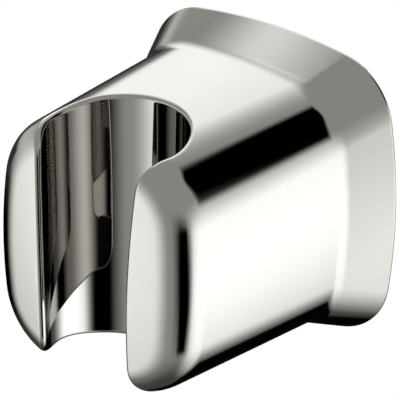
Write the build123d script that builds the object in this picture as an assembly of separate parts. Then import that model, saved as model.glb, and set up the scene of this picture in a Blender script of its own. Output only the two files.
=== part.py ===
from build123d import *
import math
import os

os.makedirs("parts", exist_ok=True)

# Wall-mounted hand shower holder, in millimetres.
# Frame: +Z up, the wall is the plane Y = 0, the holder stands out towards -Y,
# origin at the centre of the flange's back face.

# ---- driving dimensions: flange -------------------------------------------
flange_half = 26.5            # half of the square flange, at the wall
flange_corner_r = 11.8
flange_side_r = 100.0         # the sides are slightly bowed
flange_lip = 0.6              # straight edge against the wall
flange_lip_fillet = 0.3
flange_top_depth = 13.0       # depth at which the sloped skirt's theoretical inner ring lies
flange_top_half = 20.8
flange_top_corner_r = 9.9
flange_top_side_r = 113.0
crease_fillet = 5.5           # concave blend between skirt and arm

# ---- arm: a bowed square that tapers towards the front ---------------------
arm_y1, arm_a1, arm_b1, arm_r1, arm_R1, arm_z1 = -10.9, 22.4, 22.7, 11.7, 99.0, 0.10
arm_y2, arm_a2, arm_b2, arm_r2, arm_R2, arm_z2 = -45.2, 20.3, 22.0, 12.5, 97.0, 0.55
projection = 50.0             # wall to the middle of the front face
front_lean = 0.026            # the front face leans back at the top
front_rx = 150.0              # crown of the front face across
front_rz = 238.0              # crown of the front face up and down
front_fillet = 4.8

# ---- socket for the hand shower's cone -------------------------------------
socket_y = -41.1
socket_top_z = 23.3
socket_top_r = 12.1
socket_taper = 0.013          # loss of radius for each mm downwards
socket_rim_fillet = 0.75

# ---- hollow back ------------------------------------------------------------
pocket_half = 19.2
pocket_corner_r = 8.6
pocket_depth = 25.0
pocket_draft = 0.035          # loss of half width for each mm of depth
pocket_floor_fillet = 2.0
rib_half_x = 8.0
rib_y0, rib_y1 = -2.6, -5.5
rib_z0 = 15.5

# ---- concealed fixing -------------------------------------------------------
plate_half_x = 15.0
plate_z0, plate_z1 = -18.0, 15.5
plate_t = 2.0
tab_half_x = 7.0
hook_y = -8.6
hook_z = 18.1
lower_tab_y = -9.4
bend_r = 0.9
screw_z = 8.0                 # the two wall screws stand at +/- this height
slot_w, slot_l = 4.6, 7.0
washer_r, washer_hole_r, washer_t = 4.8, 2.2, 1.0
screw_r, screw_len = 2.0, 30.0
head_r, head_h = 4.0, 2.6
plug_r, plug_hole_r, plug_len = 3.0, 2.05, 25.0
set_r, set_len, set_y = 2.5, 5.0, -5.6
set_tip_z = -17.65
set_socket_af = 2.5


def ring_face(y, a, b, r, R, zc):
    """Bowed square in the plane Y = y: half width a, half height b, corner radius r, sides of radius R."""
    k = R - r
    x0, z0 = a - R, b - R
    cx, cz = a - r, b - r
    for _ in range(60):
        cx = x0 + math.sqrt(k * k - cz * cz)
        cz = z0 + math.sqrt(k * k - cx * cx)
    al = math.atan2(cz, cx - x0)          # where the side's arc ends
    be = math.atan2(cz - z0, cx)          # where the top's arc begins
    p1 = (x0 + R * math.cos(al), R * math.sin(al))
    p2 = (R * math.cos(be), z0 + R * math.sin(be))
    am = 0.5 * (al + be)
    pm = (cx + r * math.cos(am), cz + r * math.sin(am))

    def P(x, z):
        return Vector(x, y, zc + z)

    edges = [
        Edge.make_three_point_arc(P(p1[0], -p1[1]), P(a, 0), P(*p1)),
        Edge.make_three_point_arc(P(*p1), P(*pm), P(*p2)),
        Edge.make_three_point_arc(P(*p2), P(0, b), P(-p2[0], p2[1])),
        Edge.make_three_point_arc(P(-p2[0], p2[1]), P(-pm[0], pm[1]), P(-p1[0], p1[1])),
        Edge.make_three_point_arc(P(-p1[0], p1[1]), P(-a, 0), P(-p1[0], -p1[1])),
        Edge.make_three_point_arc(P(-p1[0], -p1[1]), P(-pm[0], -pm[1]), P(-p2[0], -p2[1])),
        Edge.make_three_point_arc(P(-p2[0], -p2[1]), P(0, -b), P(p2[0], -p2[1])),
        Edge.make_three_point_arc(P(p2[0], -p2[1]), P(pm[0], -pm[1]), P(p1[0], -p1[1])),
    ]
    return Face(Wire(edges))


def arm_face(y):
    t = (y - arm_y1) / (arm_y2 - arm_y1)
    m = lambda p, q: p + (q - p) * t
    return ring_face(y, m(arm_a1, arm_a2), m(arm_b1, arm_b2), m(arm_r1, arm_r2), m(arm_R1, arm_R2), m(arm_z1, arm_z2))


def block(x0, x1, y0, y1, z0, z1):
    return Pos((x0 + x1) / 2, (y0 + y1) / 2, (z0 + z1) / 2) * Box(abs(x1 - x0), abs(y1 - y0), abs(z1 - z0))


def turned(points, origin, direction):
    """Solid of revolution: points are (radius, distance along direction) and start and end on the axis."""
    w = Plane(origin=origin, z_dir=direction)
    local = [w.from_local_coords(Vector(r, 0, h)) for r, h in points]
    face = Face(Wire.make_polygon(local, close=True))
    return Solid.revolve(face, 360, Axis(origin, direction))


# ============================ holder body ====================================
arm = Solid.make_loft([arm_face(-4.0).outer_wire(), arm_face(-58.0).outer_wire()], ruled=True)

# front face: part of a barrel whose axis runs along X behind it
axis_z = arm_z2 - front_lean * front_rz
axis_y = -projection + math.sqrt(front_rz ** 2 - (front_lean * front_rz) ** 2)
bw = 40.0
sag = front_rx - math.sqrt(front_rx ** 2 - bw ** 2)
apex = axis_y - front_rz
barrel_face = Face(Wire([
    Edge.make_three_point_arc(Vector(-bw, apex + sag, axis_z), Vector(0, apex, axis_z), Vector(bw, apex + sag, axis_z)),
    Edge.make_line(Vector(bw, apex + sag, axis_z), Vector(bw, axis_y - 100, axis_z)),
    Edge.make_line(Vector(bw, axis_y - 100, axis_z), Vector(-bw, axis_y - 100, axis_z)),
    Edge.make_line(Vector(-bw, axis_y - 100, axis_z), Vector(-bw, apex + sag, axis_z)),
]))
barrel = Solid.revolve(barrel_face.rotate(Axis((0, axis_y, axis_z), (1, 0, 0)), -20), 40, Axis((0, axis_y, axis_z), (1, 0, 0)))
arm = arm & barrel

# rounded edge all round the front face
front_face = arm.faces().sort_by(Axis.Y)[0]
arm = arm.fillet(front_fillet, front_face.edges())

# flange: a straight lip at the wall, then a sloped skirt up to the arm
lip = extrude(ring_face(0.0, flange_half, flange_half, flange_corner_r, flange_side_r, 0.0), amount=flange_lip, dir=(0, -1, 0))
skirt = Solid.make_loft([
    ring_face(-flange_lip, flange_half, flange_half, flange_corner_r, flange_side_r, 0.0).outer_wire(),
    ring_face(-flange_top_depth, flange_top_half, flange_top_half, flange_top_corner_r, flange_top_side_r, 0.0).outer_wire(),
], ruled=True)
flange = lip + skirt
lip_edges = [e for e in flange.edges() if abs(e.center().Y + flange_lip) < 1e-3 and abs(e.bounding_box().size.Y) < 1e-3]
flange = flange.fillet(flange_lip_fillet, lip_edges) if hasattr(flange, "fillet") else fillet(lip_edges, flange_lip_fillet)
body = flange + arm
crease = [e for e in body.edges() if -12.6 < e.center().Y < -7.0 and e.bounding_box().size.Y < 6
          and max(abs(e.center().X), abs(e.center().Z)) > 15 and e.bounding_box().max.Y < -7.5]
body = body.fillet(crease_fillet, crease)

# conical socket, open to the front
top_z, bot_z = 30.0, -30.0
r_at = lambda z: socket_top_r - socket_taper * (socket_top_z - z)
socket = Solid.make_cone(r_at(bot_z), r_at(top_z), top_z - bot_z, Plane(origin=(0, socket_y, bot_z), z_dir=(0, 0, 1)))
# turn the cone's seam to the side that faces the opening, so that no seam lies on the wall
socket = socket.rotate(Axis((0, socket_y, 0), (0, 0, 1)), -90)
body = body - socket
rim = []
for e in body.edges():
    c = [e.position_at(t) for t in (0.15, 0.5, 0.85)]
    if all(abs(math.hypot(p.X, p.Y - socket_y) - r_at(p.Z)) < 1e-3 for p in c):
        rim.append(e)
body = body.fillet(socket_rim_fillet, rim)

# hollow back, with the rib that hangs on the wall bracket
inner = pocket_half - pocket_draft * pocket_depth
pocket = Solid.make_loft([
    ring_face(1.0, pocket_half + pocket_draft, pocket_half + pocket_draft, pocket_corner_r, 90.0, 0.0).outer_wire(),
    ring_face(-pocket_depth, inner, inner, pocket_corner_r - 0.5, 90.0, 0.0).outer_wire(),
], ruled=True)
floor = pocket.faces().sort_by(Axis.Y)[0]
pocket = pocket.fillet(pocket_floor_fillet, floor.edges())
rib = block(-rib_half_x, rib_half_x, rib_y1, rib_y0, rib_z0, pocket_half + 2.0)
pocket = pocket - rib
body = body - pocket

# tapped hole for the set screw, up through the underside of the skirt
body = body - Solid.make_cylinder(set_r, 12.0, Plane(origin=(0, set_y, -29.0), z_dir=(0, 0, 1)))

# ============================ wall bracket ===================================
# a folded steel strip: upper tab with an upturned tip, lower tab that the set screw bears on
strip_pts = [(lower_tab_y, plate_z0), (0, plate_z0), (0, plate_z1), (hook_y + plate_t, plate_z1), (hook_y + plate_t, hook_z),
             (hook_y, hook_z), (hook_y, plate_z1 - plate_t), (-plate_t, plate_z1 - plate_t), (-plate_t, plate_z0 + plate_t),
             (lower_tab_y, plate_z0 + plate_t)]
strip_face = Face(Wire.make_polygon([Vector(-tab_half_x, y, z) for y, z in strip_pts], close=True))


def corner(face, y, z):
    return [v for v in face.vertices() if abs(v.Y - y) < 1e-4 and abs(v.Z - z) < 1e-4]


strip_face = strip_face.fillet_2d(bend_r + plate_t, corner(strip_face, 0, plate_z0) + corner(strip_face, 0, plate_z1)
                                  + corner(strip_face, hook_y, plate_z1 - plate_t))
strip_face = strip_face.fillet_2d(bend_r, corner(strip_face, -plate_t, plate_z1 - plate_t) + corner(strip_face, -plate_t, plate_z0 + plate_t)
                                  + corner(strip_face, hook_y + plate_t, plate_z1))
strip = extrude(strip_face, amount=2 * tab_half_x, dir=(1, 0, 0))
plate = block(-plate_half_x, plate_half_x, -plate_t, 0, plate_z0 + 3.0, plate_z1 - 3.0)
plate = plate.fillet(4.0, [e for e in plate.edges() if abs(e.bounding_box().size.Y - plate_t) < 1e-3])
bracket = plate + strip
half = (slot_l - slot_w) / 2
upper_slot = block(-half, half, -5, 5, screw_z - slot_w / 2, screw_z + slot_w / 2)
lower_slot = block(-slot_w / 2, slot_w / 2, -5, 5, -screw_z - half, -screw_z + half)
for sx in (-half, half):
    upper_slot = upper_slot + Solid.make_cylinder(slot_w / 2, 10, Plane(origin=(sx, -5, screw_z), z_dir=(0, 1, 0)))
    lower_slot = lower_slot + Solid.make_cylinder(slot_w / 2, 10, Plane(origin=(0, -5, -screw_z + sx), z_dir=(0, 1, 0)))
bracket = bracket - upper_slot - lower_slot
# dimple under the lower tab for the set screw's point
bracket = bracket - turned([(0, -3.0), (1.4 + 3.0 - (set_tip_z - plate_z0), -3.0), (1.4, 0.0), (1.05, set_tip_z - plate_z0), (0, set_tip_z - plate_z0)],
                           (0, set_y, plate_z0), (0, 0, 1))

# ============================ fixings ========================================
# set screw: hex socket below, blunt point above
set_r_body = set_r - 0.05
set_screw = turned([(0, 0), (set_r_body - 0.4, 0), (set_r_body, 0.4), (set_r_body, set_len - (set_r_body - 0.9)), (0.9, set_len), (0, set_len)],
                   (0, set_y, set_tip_z - set_len), (0, 0, 1))
hexagon = Face(Wire.make_polygon([Vector(set_socket_af / math.sqrt(3) * math.cos(math.radians(60 * i)),
                                         set_y + set_socket_af / math.sqrt(3) * math.sin(math.radians(60 * i)),
                                         set_tip_z - set_len - 1.0) for i in range(6)], close=True))
set_screw = set_screw - extrude(hexagon, amount=1.0 + 2.4, dir=(0, 0, 1))


def wall_screw(z):
    """Pan head towards the room, shank into the wall, cross recess in the head."""
    y0 = -plate_t - washer_t
    pts = [(0, -head_h)]
    for i in range(9):                       # domed head
        a = math.radians(10 * i)
        pts.append((head_r * math.sin(a), -0.7 - (head_h - 0.7) * math.cos(a)))
    pts = [pts[0]] + pts[2:] + [(head_r, -0.7), (head_r, 0), (screw_r, 0), (screw_r, screw_len - 4.0), (0.25, screw_len), (0, screw_len)]
    s = turned(pts, (0, y0, z), (0, 1, 0))
    cross = Pos(0, y0 - head_h, z) * (Box(4.2, 3.0, 0.9) + Box(0.9, 3.0, 4.2) + Cylinder(1.0, 3.0, rotation=(90, 0, 0)))
    return s - cross


def washer(z):
    y0 = -plate_t - washer_t
    w = (Solid.make_cylinder(washer_r, washer_t, Plane(origin=(0, y0, z), z_dir=(0, 1, 0)))
         - Solid.make_cylinder(washer_hole_r, 3 * washer_t, Plane(origin=(0, y0 - washer_t, z), z_dir=(0, 1, 0))))
    outer = [e for e in w.edges() if abs(e.bounding_box().size.X - 2 * washer_r) < 1e-3]
    return w.fillet(0.2, outer)


def wall_plug(z):
    """Expanding plug: plain collar at the wall face, barbed legs parted by a cross slit."""
    pts = [(plug_hole_r, 0), (plug_r, 0), (plug_r, 8.0)]
    y = 8.0
    while y < plug_len - 3.0:
        pts += [(plug_r - 0.45, y), (plug_r, y + 2.0)]
        y += 2.4
        pts += [(plug_r, y)]
    pts += [(plug_r - 0.45, y), (plug_r - 0.45, plug_len - 1.0), (plug_hole_r + 0.1, plug_len), (plug_hole_r, plug_len)]
    w = Plane(origin=(0, 0, z), z_dir=(0, 1, 0))
    clean = [pts[0]]
    for p in pts[1:]:
        if math.dist(p, clean[-1]) > 1e-6:
            clean.append(p)
    face = Face(Wire.make_polygon([w.from_local_coords(Vector(r, 0, h)) for r, h in clean], close=True))
    p = Solid.revolve(face, 360, Axis((0, 0, z), (0, 1, 0)))
    slit = Pos(0, 9.0 + (plug_len - 9.0) / 2 + 1.0, z) * (Box(8, plug_len - 9.0 + 2.0, 0.8) + Box(0.8, plug_len - 9.0 + 2.0, 8))
    return p - slit


nodes = {
    "holder_body": body,
    "wall_bracket": bracket,
    "set_screw": set_screw,
    "wall_screw_upper": wall_screw(screw_z),
    "wall_screw_lower": wall_screw(-screw_z),
    "washer_upper": washer(screw_z),
    "washer_lower": washer(-screw_z),
    "wall_plug_upper": wall_plug(screw_z),
    "wall_plug_lower": wall_plug(-screw_z),
}

for name, shape in nodes.items():
    solids = shape.solids()
    b = shape.bounding_box()
    print(name, len(solids), "solid, %.1f mm3" % sum(s.volume for s in solids), "valid", shape.is_valid,
          "x %.2f %.2f y %.2f %.2f z %.2f %.2f" % (b.min.X, b.max.X, b.min.Y, b.max.Y, b.min.Z, b.max.Z))
    export_step(solids[0] if len(solids) == 1 else shape, "parts/%s.step" % name)
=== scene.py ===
import math
import bpy
import numpy as np
from mathutils import Matrix, Vector


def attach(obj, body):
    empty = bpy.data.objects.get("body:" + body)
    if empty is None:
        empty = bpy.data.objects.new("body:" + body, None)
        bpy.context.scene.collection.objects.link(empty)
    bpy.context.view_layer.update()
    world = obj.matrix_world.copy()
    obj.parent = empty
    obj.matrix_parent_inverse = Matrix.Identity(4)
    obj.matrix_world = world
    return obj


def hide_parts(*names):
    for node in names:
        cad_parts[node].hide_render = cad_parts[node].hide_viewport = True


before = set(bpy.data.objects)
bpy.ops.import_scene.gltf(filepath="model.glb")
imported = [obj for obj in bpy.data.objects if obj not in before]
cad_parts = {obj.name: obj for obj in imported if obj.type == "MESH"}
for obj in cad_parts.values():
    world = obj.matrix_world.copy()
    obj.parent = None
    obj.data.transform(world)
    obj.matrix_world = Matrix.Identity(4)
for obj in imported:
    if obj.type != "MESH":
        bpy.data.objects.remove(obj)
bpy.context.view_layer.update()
scene = bpy.context.scene
MM = 0.001

# ---------------------------------------------------------------- camera

AZ, EL = math.radians(39.05651), math.radians(26.06342)
back = Vector((math.sin(AZ) * math.cos(EL), -math.cos(AZ) * math.cos(EL), math.sin(EL)))
right = Vector((math.cos(AZ), math.sin(AZ), 0.0))
up = back.cross(right)
cam_data = bpy.data.cameras.new("camera")
cam = bpy.data.objects.new("camera", cam_data)
scene.collection.objects.link(cam)
place = (Vector((0.0, -22.083, 0.0)) + right * 1.7226 + up * 1.7882 + back * 651.40) * MM
cam.matrix_world = Matrix.Translation(place) @ Matrix((right, up, back)).transposed().to_4x4()
cam_data.sensor_fit = "HORIZONTAL"
cam_data.sensor_width = 36.0
cam_data.lens = 36.0 * 3914.16 / 400
cam_data.clip_start, cam_data.clip_end = 0.01, 20.0
scene.camera = cam
scene.view_settings.view_transform = "Standard"
scene.view_settings.look = "None"

# ---------------------------------------------------------------- node helpers


class Tree:
    """Short calls for making shader nodes."""

    def __init__(self, tree):
        self.tree = tree
        tree.nodes.clear()

    def node(self, kind, **values):
        n = self.tree.nodes.new(kind)
        for k, v in values.items():
            setattr(n, k, v)
        return n

    def link(self, a, b):
        self.tree.links.new(a, b)

    def put(self, socket, v):
        if hasattr(v, "is_output"):
            self.link(v, socket)
        else:
            socket.default_value = v

    def math(self, op, *inputs, clamp=False):
        n = self.node("ShaderNodeMath", operation=op, use_clamp=clamp)
        for s, v in zip(n.inputs, inputs):
            self.put(s, v)
        return n.outputs[0]

    def ramp(self, v, lo, hi, to_lo=0.0, to_hi=1.0, smooth=False):
        n = self.node("ShaderNodeMapRange", interpolation_type="SMOOTHSTEP" if smooth else "LINEAR")
        for s, q in zip(("Value", "From Min", "From Max", "To Min", "To Max"), (v, lo, hi, to_lo, to_hi)):
            self.put(n.inputs[s], q)
        return n.outputs["Result"]

    def mix(self, fac, a, b):
        n = self.node("ShaderNodeMix", data_type="RGBA")
        for s, v in zip((n.inputs[0], n.inputs[6], n.inputs[7]), (fac, a, b)):
            self.put(s, v)
        return n.outputs[2]

    def noise(self, coord, scale, detail=2.0, stretch=None):
        if stretch:
            m = self.node("ShaderNodeMapping")
            m.inputs["Scale"].default_value = stretch
            self.link(coord, m.inputs["Vector"])
            coord = m.outputs[0]
        n = self.node("ShaderNodeTexNoise")
        self.link(coord, n.inputs["Vector"])
        n.inputs["Scale"].default_value = scale
        n.inputs["Detail"].default_value = detail
        return n.outputs["Fac"]


# ---------------------------------------------------------------- studio light

# Soft cards of light and black cards, each: direction of its centre round the vertical axis (0 is the room in front,
# 90 is +X), its reach to either side and the softness of those edges, its lowest and highest elevation and their
# softness, all in degrees, and the brightness that polished metal shows in it. Two more numbers round its upper
# corner at the lower angles. Later cards hide earlier ones.
METAL = 0.451178
AMBIENT = (0.2283, 0.04658, -56.96)
CARDS = [
    (53.14, 16.82, 21.95, 34.15, 2.465, -35.61, -1.205, 27.25, 41.69, 1.24e-07),  # shade_right
    (168.5, 80.41, -21.63, 58.11, 27.73, -51.4, -2.284, 60.39, 53.27, 1.09),  # side_right
    (310, 64.23, 37.76, 6.17, 60, -38.03, 3.713, 35.57, 49, 0.8719),  # front_left
    (66.95, 18.29, 19.95, 9.787, 21.61, -41.55, -7.097, 25.63, 45.43, 1.399e-07),  # black_right
    (64.92, 11.8, 11.22, 16.66, 8.712, -40.69, -7.746, 7.441, 11.06, 6.87e-05),  # black_fork
    (247.8, 69.76, 50.08, 10.72, 48.09, -58.92, -4.456, 55.92, 41.94, 9.176e-09),  # black_left
    (221.6, 97.16, -60.93, 14.91, 10.32, 8.967, 47.32, 10.76, 59.71, 0.0002924, 18.99, 10.02),  # black_top
    (153, -38.42, 87.75, 58.54, 28.04, 9.814, 44.94, 15.51, 53.1, 1.001),  # top_a
    (277.7, 31.5, -25.2, 58.19, 59.21, 49.55, 63.73, 14.39, 19.78, 1.582),  # top_b
    (205, 41.88, 25.74, 12.66, 34.86, -70.15, -18.87, 6.387, 61.52, 0.0009004),  # black_floor
    (207.9, 64.11, 65.81, 20.62, 6.114, -20.26, -5.685, 4.713, 6.629, 0.03112),  # dark_left
]

world = bpy.data.worlds.new("studio")
scene.world = world
world.use_nodes = True
w = Tree(world.node_tree)
xyz = w.node("ShaderNodeSeparateXYZ")
w.link(w.node("ShaderNodeTexCoord").outputs["Generated"], xyz.inputs[0])
lon = w.math("DEGREES", w.math("ARCTAN2", xyz.outputs[0], w.math("MULTIPLY", xyz.outputs[1], -1.0)))
lat = w.math("DEGREES", w.math("ARCSINE", xyz.outputs[2]))
minus_lat = w.math("MULTIPLY", lat, -1.0)


def edge(v, at, soft):
    return w.ramp(v, at - soft / 2, at + soft / 2, smooth=True)


light = w.ramp(lat, AMBIENT[2] - 25, AMBIENT[2] + 25, AMBIENT[1], AMBIENT[0], smooth=True)
for centre, left_, right_, soft_l, soft_r, low, high, soft_lo, soft_hi, value, *corner in CARDS:
    x = w.math("WRAP", w.math("SUBTRACT", lon, centre), 180.0, -180.0)
    minus_x = w.math("MULTIPLY", x, -1.0)
    inside = w.math("MULTIPLY", edge(minus_x, -right_, soft_r), edge(lat, low, soft_lo))
    if corner:
        u = w.ramp(minus_x, left_ - corner[0], left_ + corner[0], 0.0, 2.0)
        v = w.ramp(lat, high - corner[1], high + corner[1], 0.0, 2.0)
        reach = w.math("SQRT", w.math("ADD", w.math("MULTIPLY", u, u), w.math("MULTIPLY", v, v)))
        k = soft_l / corner[0] / 2
        inside = w.math("MULTIPLY", inside, w.ramp(reach, 1 - k, 1 + k, 1.0, 0.0, smooth=True))
    else:
        inside = w.math("MULTIPLY", inside, edge(x, -left_, soft_l))
        inside = w.math("MULTIPLY", inside, edge(minus_lat, -high, soft_hi))
    light = w.math("ADD", light, w.math("MULTIPLY", inside, w.math("SUBTRACT", value, light)))
studio = w.node("ShaderNodeBackground")
# the room's own light is a little warmer than the lamps
w.link(w.mix(w.ramp(light, 0.2, 0.9), (1, 0.998, 0.972, 1), (1, 1.004, 1.026, 1)), studio.inputs["Color"])
w.link(w.math("DIVIDE", light, METAL), studio.inputs["Strength"])
white = w.node("ShaderNodeBackground")
white.inputs["Color"].default_value = (1, 1, 1, 1)
choose = w.node("ShaderNodeMixShader")
w.link(w.node("ShaderNodeLightPath").outputs["Is Camera Ray"], choose.inputs[0])
w.link(studio.outputs[0], choose.inputs[1])
w.link(white.outputs[0], choose.inputs[2])
w.link(choose.outputs[0], w.node("ShaderNodeOutputWorld").inputs["Surface"])

# ---------------------------------------------------------------- pale floor

floor_mesh = bpy.data.meshes.new("floor")
S, FLOOR_Z = 4.0, -0.09
floor_mesh.from_pydata([(-S, -S, FLOOR_Z), (S, -S, FLOOR_Z), (S, S, FLOOR_Z), (-S, S, FLOOR_Z)], [], [(0, 1, 2, 3)])
floor = bpy.data.objects.new("floor", floor_mesh)
scene.collection.objects.link(floor)
floor.visible_glossy = False
floor.visible_diffuse = False
floor.visible_shadow = False
mat = bpy.data.materials.new("pale_floor")
mat.use_nodes = True
t = Tree(mat.node_tree)
glow = t.node("ShaderNodeEmission")
glow.inputs["Color"].default_value = (1, 1, 1, 1)
gone = t.node("ShaderNodeBsdfTransparent")
choose = t.node("ShaderNodeMixShader")
t.link(t.node("ShaderNodeNewGeometry").outputs["Backfacing"], choose.inputs[0])
t.link(glow.outputs[0], choose.inputs[1])
t.link(gone.outputs[0], choose.inputs[2])
t.link(choose.outputs[0], t.node("ShaderNodeOutputMaterial").inputs["Surface"])
floor_mesh.materials.append(mat)

# ---------------------------------------------------------------- materials


def surface(name, base, metallic, specular_tint=None):
    m = bpy.data.materials.new(name)
    m.use_nodes = True
    t = Tree(m.node_tree)
    b = t.node("ShaderNodeBsdfPrincipled")
    b.inputs["Metallic"].default_value = metallic
    b.inputs["Base Color"].default_value = (*base, 1)
    if specular_tint:
        b.inputs["Specular Tint"].default_value = (specular_tint,) * 3 + (1,)
    t.link(b.outputs[0], t.node("ShaderNodeOutputMaterial").inputs["Surface"])
    coord = t.node("ShaderNodeTexCoord").outputs["Object"]
    return m, t, b, coord


def bump(t, b, height, strength, distance):
    n = t.node("ShaderNodeBump")
    n.inputs["Strength"].default_value = strength
    n.inputs["Distance"].default_value = distance
    t.link(height, n.inputs["Height"])
    t.link(n.outputs[0], b.inputs["Normal"])


def tone(c, k):
    return tuple(min(1.0, v * k) for v in c) + (1,)


CHROME = (METAL * 1.0, METAL * 0.985, METAL * 0.925)
chrome, t, b, coord = surface("polished_chrome", CHROME, 1.0, 0.66)
haze = t.noise(coord, 90.0, 3.0)
t.link(t.mix(haze, tone(CHROME, 0.985), tone(CHROME, 1.015)), b.inputs["Base Color"])
t.link(t.ramp(haze, 0.3, 0.7, 0.02, 0.035), b.inputs["Roughness"])

cast, t, b, coord = surface("plated_casting", (0.40, 0.40, 0.39), 1.0)
grain = t.noise(coord, 1500.0, 4.0)
patch = t.noise(coord, 160.0, 2.0)
t.link(t.mix(patch, (0.33, 0.33, 0.325, 1), (0.47, 0.47, 0.455, 1)), b.inputs["Base Color"])
t.link(t.ramp(patch, 0.3, 0.7, 0.30, 0.44), b.inputs["Roughness"])
bump(t, b, grain, 0.35, 0.00012)

zinc, t, b, coord = surface("zinc_plated", (0.55, 0.57, 0.60), 1.0)
spangle = t.noise(coord, 260.0, 3.0)
roll = t.noise(coord, 90.0, 4.0, stretch=(1.0, 1.0, 26.0))
t.link(t.mix(spangle, (0.46, 0.48, 0.52, 1), (0.64, 0.65, 0.66, 1)), b.inputs["Base Color"])
t.link(t.ramp(roll, 0.3, 0.7, 0.24, 0.38), b.inputs["Roughness"])
bump(t, b, roll, 0.12, 0.00008)

steel, t, b, coord = surface("stainless", (0.52, 0.51, 0.50), 1.0)
streak = t.noise(coord, 700.0, 4.0)
t.link(t.mix(streak, (0.45, 0.44, 0.43, 1), (0.58, 0.575, 0.565, 1)), b.inputs["Base Color"])
t.link(t.ramp(streak, 0.3, 0.7, 0.20, 0.32), b.inputs["Roughness"])
bump(t, b, streak, 0.10, 0.00003)

nylon, t, b, coord = surface("grey_nylon", (0.17, 0.175, 0.185), 0.0)
speck = t.noise(coord, 900.0, 3.0)
cloud = t.noise(coord, 130.0, 2.0)
t.link(t.mix(cloud, (0.150, 0.155, 0.165, 1), (0.195, 0.20, 0.21, 1)), b.inputs["Base Color"])
t.link(t.ramp(cloud, 0.3, 0.7, 0.42, 0.55), b.inputs["Roughness"])
b.inputs["Subsurface Weight"].default_value = 0.05
b.inputs["Subsurface Radius"].default_value = (0.0006, 0.0006, 0.0006)
bump(t, b, speck, 0.12, 0.00004)

for node, m in {"holder_body": chrome, "wall_bracket": zinc, "washer_upper": zinc, "washer_lower": zinc,
                "set_screw": steel, "wall_screw_upper": steel, "wall_screw_lower": steel,
                "wall_plug_upper": nylon, "wall_plug_lower": nylon}.items():
    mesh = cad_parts[node].data
    mesh.materials.clear()
    mesh.materials.append(m)


def add_piece(name, mesh, replaces):
    o = bpy.data.objects.new(name, mesh)
    scene.collection.objects.link(o)
    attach(o, "root")
    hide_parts(replaces)
    return o

# ---------------------------------------------------------------- holder body: its shape as a field, in millimetres

FLANGE = dict(half=26.5, corner=11.8, side=100.0, lip=0.6, lip_fillet=0.22, back_round=0.35,
              top_depth=13.0, top_half=20.8, top_corner=9.9, top_side=113.0)
ARM_ROOT = (-10.9, 22.4, 22.7, 11.7, 99.0, 0.10)      # y, half width, half height, corner and side radius, z of its middle
ARM_END = (-45.2, 20.45, 22.0, 12.5, 97.0, 0.55)
PROJECTION, LEAN, FACE_RX, FACE_RZ = 50.0, 0.026, 150.0, 238.0
FACE_SOFT, FACE_POWER = 5.45, 2.36                     # soft edge round the front face
CREASE_MID, CREASE_CORNER = 5.5, 6.7                   # concave blend between arm and flange
SOCKET_Y, SOCKET_Z, SOCKET_R, SOCKET_TAPER, SOCKET_RIM = -41.1, 23.3, 12.1, 0.013, 0.75
POCKET_HALF, POCKET_CORNER, POCKET_DEPTH, POCKET_DRAFT, POCKET_FLOOR = 19.2, 8.6, 25.0, 0.035, 2.0
RIB_X, RIB_BACK, RIB_FRONT, RIB_Z = 8.0, -2.6, -5.5, 15.5
SET_HOLE_R, SET_HOLE_Y, SET_HOLE_TOP = 2.5, -5.6, -17.0


def bowed(x, z, a, b, r, R):
    """Distance to a square with bowed sides of radius R and corners of radius r, in its plane."""
    x, z = np.abs(x), np.abs(z)
    k = R - r
    x0, z0 = a - R, b - R
    m = x0 / z0
    q = (z0 * z0 - x0 * x0) / (2 * z0) - z0
    cx = (-m * q + np.sqrt(m * m * q * q - (1 + m * m) * (q * q - k * k))) / (1 + m * m)
    cz = m * cx + q + z0
    d = np.maximum(np.hypot(x - x0, z), np.hypot(x, z - z0)) - k
    corner = ((cx - x0) * z - cz * (x - x0) > 0) & (x * (cz - z0) - cx * (z - z0) > 0)
    return np.where(corner, np.hypot(x - cx, z - cz), d) - r


def arm_side(x, y, z):
    t = (np.minimum(y, 0.0) - ARM_ROOT[0]) / (ARM_END[0] - ARM_ROOT[0])
    a, b, r, R, zc = [p + (q - p) * t for p, q in zip(ARM_ROOT[1:], ARM_END[1:])]
    return bowed(x, z - zc, a, b, r, R)


def skirt_side(x, y, z):
    f = FLANGE
    t = np.clip((-y - f["lip"]) / (f["top_depth"] - f["lip"]), -0.2, 3.0)
    half = f["half"] + (f["top_half"] - f["half"]) * t
    return bowed(x, z, half, half, f["corner"] + (f["top_corner"] - f["corner"]) * t,
                 f["side"] + (f["top_side"] - f["side"]) * t)


def lip_side(x, y, z):
    return bowed(x, z, FLANGE["half"], FLANGE["half"], FLANGE["corner"], FLANGE["side"])


FACE_Z = ARM_END[5] - LEAN * FACE_RZ
FACE_Y = -PROJECTION + math.sqrt(FACE_RZ ** 2 - (LEAN * FACE_RZ) ** 2)


def front_face(x, y, z):
    rho = np.hypot(y - FACE_Y, z - FACE_Z)
    return np.hypot(x, rho - (FACE_RZ - FACE_RX)) - FACE_RX


def socket_side(x, y, z):
    return np.hypot(x, y - SOCKET_Y) - (SOCKET_R - SOCKET_TAPER * (SOCKET_Z - z))


def pocket_side(x, y, z):
    half = POCKET_HALF + POCKET_DRAFT * y
    return bowed(x, z, half, half, POCKET_CORNER + 0.02 * y, 90.0)


def unit(f, x, y, z, e=1e-3):
    """Value and gradient of f, scaled so that the value is a distance."""
    v = f(x, y, z)
    g = [(f(x + e, y, z) - f(x - e, y, z)) / (2 * e), (f(x, y + e, z) - f(x, y - e, z)) / (2 * e),
         (f(x, y, z + e) - f(x, y, z - e)) / (2 * e)]
    n = np.sqrt(g[0] ** 2 + g[1] ** 2 + g[2] ** 2) + 1e-12
    return v / n, [q / n for q in g]


def flip(d):
    return -d[0], [-q for q in d[1]]


def both(p, q):
    """What lies in both of two solids, with a sharp edge."""
    m = q[0] > p[0]
    return np.where(m, q[0], p[0]), [np.where(m, v, u) for u, v in zip(p[1], q[1])]


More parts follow.
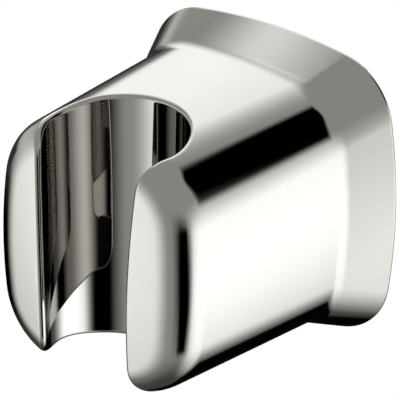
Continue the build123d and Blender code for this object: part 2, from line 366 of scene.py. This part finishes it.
def both_round(p, q, r):
    """What lies in both of two solids, with the edge rounded to radius r."""
    (a, ga), (b, gb) = p, q
    c = np.clip(ga[0] * gb[0] + ga[1] * gb[1] + ga[2] * gb[2], -0.97, 0.97)
    u, v = a + r, b + r
    s = np.sqrt(np.maximum((u * u + v * v - 2 * c * u * v) / (1 - c * c), 1e-12))
    inside = (v > c * u) & (u > c * v) & (u + v > 0)
    ka = np.where(inside, (u - c * v) / (1 - c * c) / s, (a >= b) * 1.0)
    kb = np.where(inside, (v - c * u) / (1 - c * c) / s, (a < b) * 1.0)
    return np.where(inside, s - r, np.maximum(a, b)), [ka * i + kb * j for i, j in zip(ga, gb)]


def both_soft(p, q, r, power):
    """What lies in both of two solids, with an edge whose curvature starts from nothing."""
    (a, ga), (b, gb) = p, q
    u, v = np.maximum(a + r, 0), np.maximum(b + r, 0)
    inside = (u > 0) & (v > 0)
    s = (u ** power + v ** power) ** (1 / power) + 1e-12
    ka = np.where(inside, (u / s) ** (power - 1), (a >= b) * 1.0)
    kb = np.where(inside, (v / s) ** (power - 1), (a < b) * 1.0)
    return np.where(inside, s - r, np.maximum(a, b)), [ka * i + kb * j for i, j in zip(ga, gb)]


def slab(x, y, z):
    """Solid box of the rib that the bracket's hook catches."""
    o, zero = np.ones_like(x), np.zeros_like(x)
    d = (np.abs(x) - RIB_X, [np.sign(x), zero, zero])
    mid, half = (RIB_BACK + RIB_FRONT) / 2, (RIB_BACK - RIB_FRONT) / 2
    d = both(d, (np.abs(y - mid) - half, [zero, np.sign(y - mid), zero]))
    return both(d, (RIB_Z - z, [zero, zero, -o]))


def pocket(x, y, z):
    o, zero = np.ones_like(x), np.zeros_like(x)
    d = both_round(unit(pocket_side, x, y, z), (-y - POCKET_DEPTH, [zero, -o, zero]), POCKET_FLOOR)
    return both(d, flip(slab(x, y, z)))


def body(x, y, z):
    """Value, below nothing inside the metal, and gradient."""
    o, zero = np.ones_like(x), np.zeros_like(x)
    arm = both_soft(unit(arm_side, x, y, z), unit(front_face, x, y, z), FACE_SOFT, FACE_POWER)
    rim = unit(lip_side, x, y, z)
    flange = both_round(unit(skirt_side, x, y, z), rim, FLANGE["lip_fillet"])
    flange = both(flange, (-36.0 - y, [zero, -o, zero]))
    k = np.clip(np.minimum(np.abs(x), np.abs(z)) / 14.0, 0, 1)
    k = k * k * (3 - 2 * k)
    d = flip(both_round(flip(arm), flip(flange), CREASE_MID + (CREASE_CORNER - CREASE_MID) * k))
    d = both_round(d, flip(unit(socket_side, x, y, z)), SOCKET_RIM)
    d = both(d, both_round(rim, (y, [zero, o, zero]), FLANGE["back_round"]))
    d = both(d, flip(pocket(x, y, z)))
    rho = np.hypot(x, y - SET_HOLE_Y) + 1e-12
    hole = both((rho - SET_HOLE_R, [x / rho, (y - SET_HOLE_Y) / rho, zero]), (z - SET_HOLE_TOP, [zero, zero, o]))
    return both(d, flip(hole))


# ---------------------------------------------------------------- meshing of a field


def grid_values(field, h, ax, band=5):
    """The field at the nodes of a grid of planes ax; far from the surface only the sign is right."""
    n = [len(a) for a in ax]
    co = [np.unique(np.r_[np.arange(0, n[i], band), n[i] - 1]) for i in range(3)]
    X, Y, Z = np.meshgrid(*[ax[i][co[i]] for i in range(3)], indexing="ij")
    coarse = field(X.ravel(), Y.ravel(), Z.ravel())[0].reshape(X.shape)
    near = [np.abs(np.arange(n[i])[:, None] - co[i][None]).argmin(1) for i in range(3)]
    V = coarse[np.ix_(*near)].copy()
    close = np.abs(V) < band * h * 1.3
    i, j, k = np.nonzero(close)
    V[close] = field(ax[0][i], ax[1][j], ax[2][k])[0]
    return V


def crossings(field, ax, V):
    """Where grid edges cross the surface: point, normal, the four cells round the edge, and which end is inside."""
    out = []
    for a in range(3):
        s0, s1 = [slice(None)] * 3, [slice(None)] * 3
        s0[a], s1[a] = slice(0, -1), slice(1, None)
        A, B = V[tuple(s0)], V[tuple(s1)]
        I = np.stack(np.nonzero((A < 0) != (B < 0)), 1)
        va, vb = A[tuple(I.T)], B[tuple(I.T)]
        p0 = np.stack([ax[k][I[:, k]] for k in range(3)], 1)
        step = ax[a][I[:, a] + 1] - ax[a][I[:, a]]
        t0, t1 = np.zeros(len(I)), np.ones(len(I))
        f0, f1 = va.copy(), vb.copy()
        for it in range(6):
            t = t0 + (t1 - t0) * np.clip(f0 / (f0 - f1), 0.02, 0.98)
            p = p0.copy()
            p[:, a] += t * step
            v, g = field(p[:, 0], p[:, 1], p[:, 2])
            same = (v < 0) == (va < 0)
            t0, f0 = np.where(same, t, t0), np.where(same, v, f0)
            f1 = np.where(same, np.where(it > 0, f1 * 0.5, f1), v)
            t1 = np.where(same, t1, t)
            if np.abs(v).max() < 1e-6:
                break
        N = np.stack(g, 1)
        N /= np.linalg.norm(N, axis=1, keepdims=True) + 1e-12
        b, c = (a + 1) % 3, (a + 2) % 3
        cells = []
        for db, dc in ((0, 0), (-1, 0), (-1, -1), (0, -1)):
            J = I.copy()
            J[:, b] += db
            J[:, c] += dc
            cells.append(J)
        out.append((p, N, np.stack(cells, 1), va < 0))
    return out


def project(field, p, times=3):
    for _ in range(times):
        v, g = field(p[:, 0], p[:, 1], p[:, 2])
        g = np.stack(g, 1)
        p = p - g * (v / ((g * g).sum(1) + 1e-12))[:, None]
    return p


def normals(field, p):
    g = np.stack(field(p[:, 0], p[:, 1], p[:, 2])[1], 1)
    return g / (np.linalg.norm(g, axis=1, keepdims=True) + 1e-12)


def contour(field, h, ax):
    """Quads on the surface by dual contouring, which keeps sharp edges."""
    V = grid_values(field, h, ax)
    n = V.shape
    code = lambda c: (c[..., 0] * n[1] + c[..., 1]) * n[2] + c[..., 2]
    parts = crossings(field, ax, V)
    ids = np.unique(np.concatenate([code(q[2]).ravel() for q in parts]))
    M, count = np.zeros((len(ids), 3)), np.zeros(len(ids))
    where = [np.searchsorted(ids, code(q[2])) for q in parts]
    for (p, N, cells, _), k in zip(parts, where):
        for j in range(4):
            np.add.at(M, k[:, j], p)
            np.add.at(count, k[:, j], 1)
    M /= count[:, None]
    A, b = np.zeros((len(ids), 3, 3)), np.zeros((len(ids), 3))
    quads = []
    for (p, N, cells, inside), k in zip(parts, where):
        for j in range(4):
            np.add.at(A, k[:, j], N[:, :, None] * N[:, None, :])
            np.add.at(b, k[:, j], N * (N * (p - M[k[:, j]])).sum(1, keepdims=True))
        quads.append(np.where(inside[:, None], k, k[:, ::-1]))
    e, U = np.linalg.eigh(A)
    inv = np.where(e > 0.08 * e[:, -1:], 1 / np.maximum(e, 1e-9), 0)
    x = np.einsum("nij,nj,nkj,nk->ni", U, inv, U, b)
    cell = np.stack([ids // (n[1] * n[2]), ids // n[2] % n[1], ids % n[2]], 1)
    low = np.stack([ax[i][cell[:, i]] for i in range(3)], 1)
    high = np.stack([ax[i][cell[:, i] + 1] for i in range(3)], 1)
    P = np.clip(M + x, low - 0.02 * h, high + 0.02 * h)
    return project(field, P), np.concatenate(quads)


def corner_normals(field, P, F, away):
    """Normal of each face corner, taken a little way into the face."""
    d = P[F].mean(1)[:, None] - P[F]
    d /= np.linalg.norm(d, axis=2, keepdims=True) + 1e-12
    return normals(field, (P[F] + d * away).reshape(-1, 3)).reshape(F.shape + (3,))


def sharp_points(P, F, CN, limit=28):
    """Points on the edges that really are sharp: round the back, the pocket and the screw hole."""
    s = np.zeros((len(P), 3))
    for j in range(F.shape[1]):
        np.add.at(s, F[:, j], CN[:, j])
    s /= np.linalg.norm(s, axis=1, keepdims=True) + 1e-12
    out = np.zeros(len(P), bool)
    out[F[(CN * s[F]).sum(2) < math.cos(math.radians(limit))]] = True
    x, y, z = P.T
    near = (np.abs(y) < 0.1) | (np.abs(pocket(x, y, z)[0]) < 0.2)
    return out & (near | ((np.hypot(x, y - SET_HOLE_Y) < SET_HOLE_R + 0.2) & (z < SET_HOLE_TOP)))


def relax(field, P, F, fixed, times):
    """Evens out the spacing along the surface."""
    k = F.shape[1]
    E = np.concatenate([np.stack([F[:, j], F[:, (j + 1) % k]], 1) for j in range(k)])
    for _ in range(times):
        s, c = np.zeros_like(P), np.zeros(len(P))
        for a, b in ((0, 1), (1, 0)):
            np.add.at(s, E[:, a], P[E[:, b]])
            np.add.at(c, E[:, a], 1)
        d = s / np.maximum(c, 1)[:, None] - P
        N = normals(field, P)
        d -= N * (d * N).sum(1, keepdims=True)
        d[fixed] = 0
        P = project(field, P + 0.5 * d, 2)
    return P


def halves(P, Q, N, sharp):
    """Quads cut along the diagonal whose ends agree best."""
    a = (N[Q[:, 0]] * N[Q[:, 2]]).sum(1) + 2.0 * (sharp[Q[:, 0]] & sharp[Q[:, 2]])
    b = (N[Q[:, 1]] * N[Q[:, 3]]).sum(1) + 2.0 * (sharp[Q[:, 1]] & sharp[Q[:, 3]])
    la = np.linalg.norm(P[Q[:, 0]] - P[Q[:, 2]], axis=1)
    lb = np.linalg.norm(P[Q[:, 1]] - P[Q[:, 3]], axis=1)
    first = (a - 0.02 * la > b - 0.02 * lb)[:, None]
    return np.concatenate([np.where(first, Q[:, [0, 1, 2]], Q[:, [0, 1, 3]]),
                           np.where(first, Q[:, [0, 2, 3]], Q[:, [1, 2, 3]])])


def split(field, P, T, sharp, degrees, shortest, where=None):
    """Halves the edges along which the surface turns by more than degrees, or only those among the points where."""
    E = np.sort(np.concatenate([T[:, [0, 1]], T[:, [1, 2]], T[:, [2, 0]]]), axis=1)
    key, inv = np.unique(E[:, 0].astype(np.int64) * len(P) + E[:, 1], return_inverse=True)
    e0, e1 = key // len(P), key % len(P)
    along = 0.04 * (P[e1] - P[e0])
    cut = (normals(field, P[e0] + along) * normals(field, P[e1] - along)).sum(1) < math.cos(math.radians(degrees))
    cut &= (np.linalg.norm(P[e0] - P[e1], axis=1) > shortest) & ~(sharp[e0] & sharp[e1])
    if where is not None:
        cut &= where[e0] & where[e1]
    new = np.full(len(key), -1)
    new[cut] = len(P) + np.arange(cut.sum())
    P2 = np.concatenate([P, project(field, 0.5 * (P[e0[cut]] + P[e1[cut]]), 4)])
    sharp = np.concatenate([sharp, np.zeros(cut.sum(), bool)])
    m = new[inv.ravel()].reshape(3, -1).T
    count = (m >= 0).sum(1)
    out = [T[count == 0]]
    for r in range(3):
        k = (count == 1) & (m[:, r] >= 0)
        a, b, c, x = T[k, r], T[k, (r + 1) % 3], T[k, (r + 2) % 3], m[k, r]
        out += [np.stack([a, x, c], 1), np.stack([x, b, c], 1)]
        k = (count == 2) & (m[:, (r + 2) % 3] < 0)
        a, b, c, x, y = T[k, r], T[k, (r + 1) % 3], T[k, (r + 2) % 3], m[k, r], m[k, (r + 1) % 3]
        short = (np.linalg.norm(P2[a] - P2[y], axis=1) < np.linalg.norm(P2[x] - P2[c], axis=1))[:, None]
        out += [np.stack([x, b, y], 1),
                np.where(short, np.stack([a, x, y], 1), np.stack([a, x, c], 1)),
                np.where(short, np.stack([a, y, c], 1), np.stack([x, y, c], 1))]
    k = count == 3
    a, b, c, x, y, z = T[k, 0], T[k, 1], T[k, 2], m[k, 0], m[k, 1], m[k, 2]
    out += [np.stack([a, x, z], 1), np.stack([x, b, y], 1), np.stack([z, y, c], 1), np.stack([x, y, z], 1)]
    return P2, np.concatenate(out), sharp


def to_mesh(name, P, T, L, materials, which=None):
    """Blender mesh from points in millimetres, triangles and corner normals."""
    mesh = bpy.data.meshes.new(name)
    mesh.vertices.add(len(P))
    mesh.vertices.foreach_set("co", (P * MM).astype(np.float32).ravel())
    mesh.loops.add(3 * len(T))
    mesh.loops.foreach_set("vertex_index", T.astype(np.int32).ravel())
    mesh.polygons.add(len(T))
    mesh.polygons.foreach_set("loop_start", np.arange(0, 3 * len(T), 3, dtype=np.int32))
    for m in materials:
        mesh.materials.append(m)
    if which is not None:
        mesh.polygons.foreach_set("material_index", which.astype(np.int32))
    mesh.update(calc_edges=True)
    mesh.validate()
    mesh.polygons.foreach_set("use_smooth", np.ones(len(T), bool))
    mesh.normals_split_custom_set(L.reshape(-1, 3).tolist())
    mesh.update()
    return mesh


h = 0.6
half_x = (math.ceil(27.2 / h) - 0.5) * h
across = np.arange(-half_x, half_x + h / 2, h)
deep = np.arange(-(math.ceil(51.0 / h) - 0.5) * h, -1.3, h)
lip_rows = [-1.2, -1.02, -0.88, -0.78, -0.7, -0.63, -0.56, -0.49, -0.42, -0.34, -0.25, -0.15, -0.05, 0.05, 0.5]
P, Q = contour(body, h, [across, np.r_[deep[deep < -1.4], lip_rows], across])
sharp = sharp_points(P, Q, corner_normals(body, P, Q, 0.05))
P = relax(body, P, Q, sharp | (P[:, 1] > -1.3), 4)
T = halves(P, Q, normals(body, P), sharp)
for degrees, shortest in ((12, 0.2), (10, 0.12), (9, 0.07), (9, 0.04)):
    P, T, sharp = split(body, P, T, sharp, degrees, shortest)
P = relax(body, P, T, sharp | (P[:, 1] > -1.3), 1)
# the bore's left wall mirrors itself several times over, so it gets finer triangles
wall = (np.abs(socket_side(*P.T)) < 0.03) & (P[:, 0] < -4.0)
P, T, sharp = split(body, P, T, sharp, 2.0, 0.3, wall)
P[:, [0, 2]] = np.clip(P[:, [0, 2]], -FLANGE["half"], FLANGE["half"])
P[:, 1] = np.clip(P[:, 1], -49.766, 0.0)
L = np.where(sharp[T][..., None], corner_normals(body, P, T, 0.05), normals(body, P)[T])
flat = np.cross(P[T[:, 1]] - P[T[:, 0]], P[T[:, 2]] - P[T[:, 0]])
flat /= np.linalg.norm(flat, axis=1, keepdims=True) + 1e-12
off = (L * flat[:, None]).sum(2) < 0.72
L[off] = np.repeat(flat[:, None], 3, 1)[off]
centre = P[T].mean(1)
inner = (np.abs(pocket(centre[:, 0], centre[:, 1], centre[:, 2])[0]) < 0.12) & (centre[:, 1] < -0.02)
holder = add_piece("holder_casting", to_mesh("holder_casting", P, T, L, [chrome, cast], inner), "holder_body")
